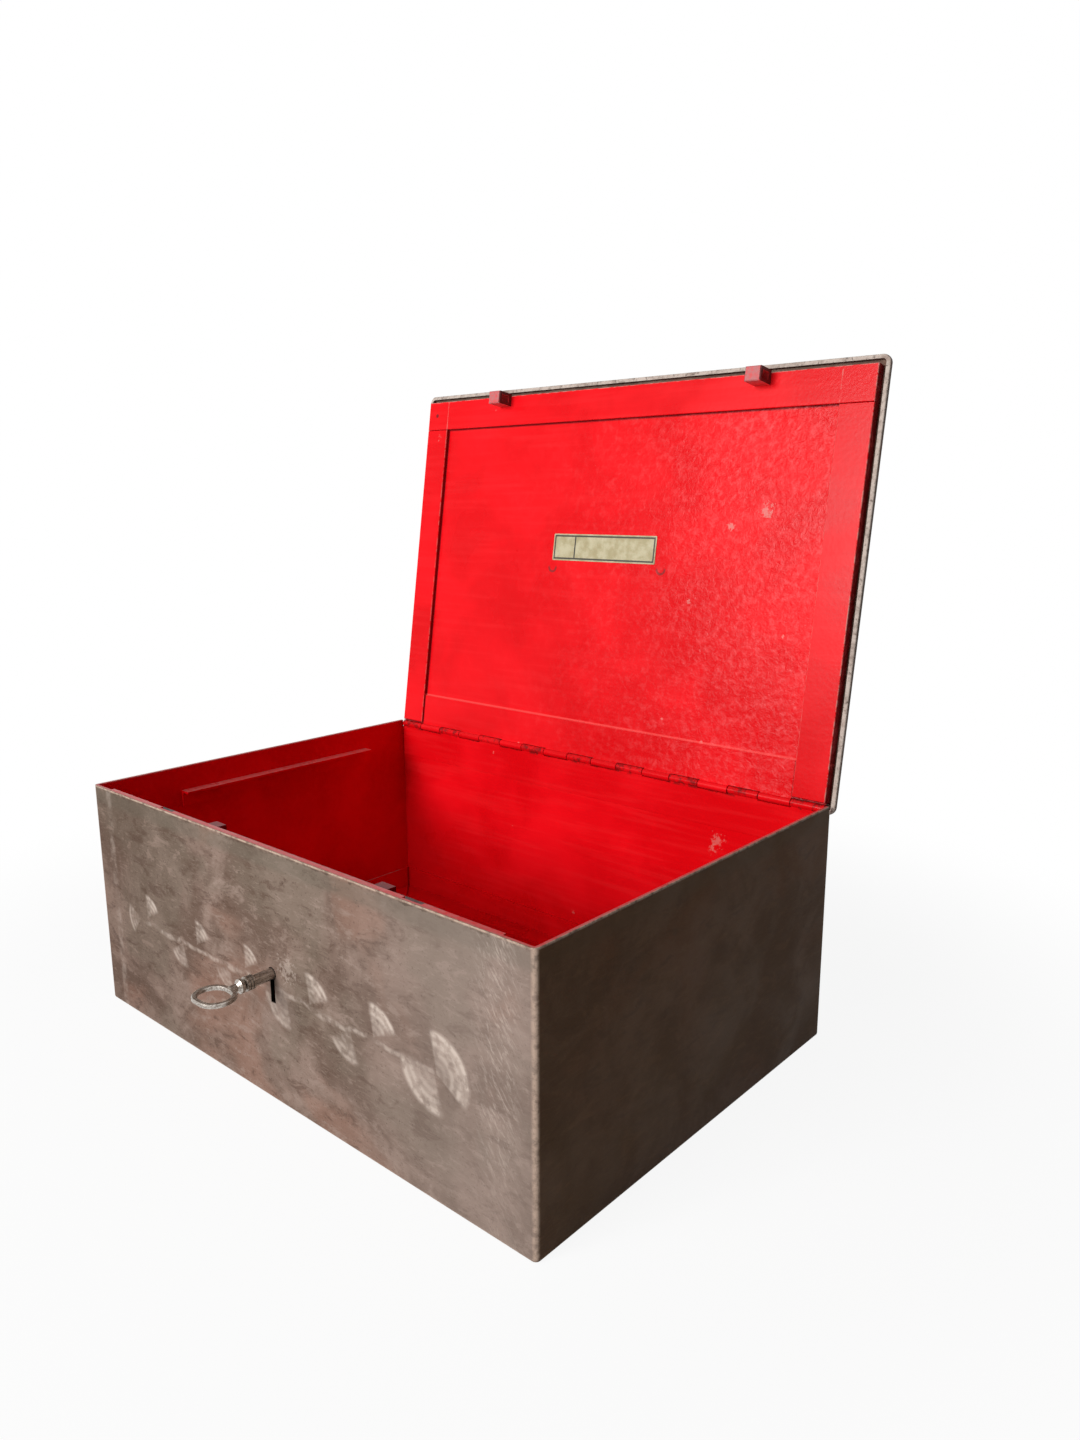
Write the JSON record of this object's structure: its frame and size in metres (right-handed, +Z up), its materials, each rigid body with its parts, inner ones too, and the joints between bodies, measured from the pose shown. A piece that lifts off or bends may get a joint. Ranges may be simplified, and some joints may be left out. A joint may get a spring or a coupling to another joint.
{
  "type": "strongbox",
  "caption": "Steel strongbox with a lid on a long knuckle hinge that leans back open, and a lever lock whose key slides a bar into lugs under the lid's front edge.",
  "frame": {"origin": "middle of the base, on the surface the box stands on", "axes": "+Z up, the front with the keyhole faces -Y, +X to the right seen from the front; the lid is stored open, leaning back on its stop"},
  "size_m": [0.383, 0.3569, 0.4073],
  "materials": {
    "shell_steel": "aged bare steel outside, red paint inside",
    "red_paint": "gloss red paint with worn edges",
    "lug_paint": "worn pinkish red paint",
    "label": "plain cream plate with a dark border",
    "lock_steel": "plain worked steel",
    "lever_brass": "plain sheet brass",
    "key_steel": "handled bright steel"
  },
  "bodies": {
    "body": {"body_shell": "shell_steel", "front_strip": "red_paint", "floor_angle_back": "red_paint", "floor_angle_front": "red_paint", "floor_angle_left": "red_paint", "floor_angle_right": "red_paint", "tray_rail_left": "red_paint", "tray_rail_right": "red_paint", "hinge_leaf_body": "red_paint", "hinge_pin": "lock_steel", "bar_guide_left": "red_paint", "bar_guide_right": "red_paint", "lock_case": "red_paint", "key_post": "lock_steel", "lever_pivot": "lock_steel"},
    "lid": {"lid_shell": "shell_steel", "lid_lining": "red_paint", "frame_bar_front": "red_paint", "frame_bar_left": "red_paint", "frame_bar_right": "red_paint", "lid_lug_left": "lug_paint", "lid_lug_right": "lug_paint", "hinge_leaf_lid": "red_paint", "label_plate": "label"},
    "locking_bar": {"locking_bar": "lock_steel", "bar_tongue_left": "lock_steel", "bar_tongue_right": "lock_steel", "bolt_plate": "lock_steel"},
    "key": {"key": "key_steel"},
    "lever_1": {"lever_1": "lever_brass"},
    "lever_2": {"lever_2": "lever_brass"},
    "lever_3": {"lever_3": "lever_brass"}
  },
  "joints": [
    {"name": "lid_hinge", "type": "hinge", "parent": "body", "child": "lid", "pos_m": [0, 0.13088, 0.1455], "axis": [1, 0, 0], "range_deg": [0, 98.7]},
    {"name": "key_turn", "type": "hinge", "parent": "body", "child": "key", "pos_m": [0, -0.133, 0.077], "axis": [0, 1, 0], "range_deg": [0, 180]},
    {"name": "bar_slide", "type": "slide", "parent": "body", "child": "locking_bar", "axis": [1, 0, 0], "range_m": [0, 0.009]},
    {"name": "lever_1_lift", "type": "hinge", "parent": "body", "child": "lever_1", "pos_m": [-0.036, -0.127, 0.089], "axis": [0, 1, 0], "range_deg": [-2, 0]},
    {"name": "lever_2_lift", "type": "hinge", "parent": "body", "child": "lever_2", "pos_m": [-0.036, -0.1253, 0.089], "axis": [0, 1, 0], "range_deg": [-2, 0]},
    {"name": "lever_3_lift", "type": "hinge", "parent": "body", "child": "lever_3", "pos_m": [-0.036, -0.1236, 0.089], "axis": [0, 1, 0], "range_deg": [-2, 0]}
  ],
  "couplings": [
    {"joint": "key_turn", "follows": "bar_slide", "rad_per_m": 349},
    {"joint": "lever_1_lift", "follows": "bar_slide", "rad_per_m": -3.874},
    {"joint": "lever_2_lift", "follows": "bar_slide", "rad_per_m": -3.874},
    {"joint": "lever_3_lift", "follows": "bar_slide", "rad_per_m": -3.874}
  ]
}
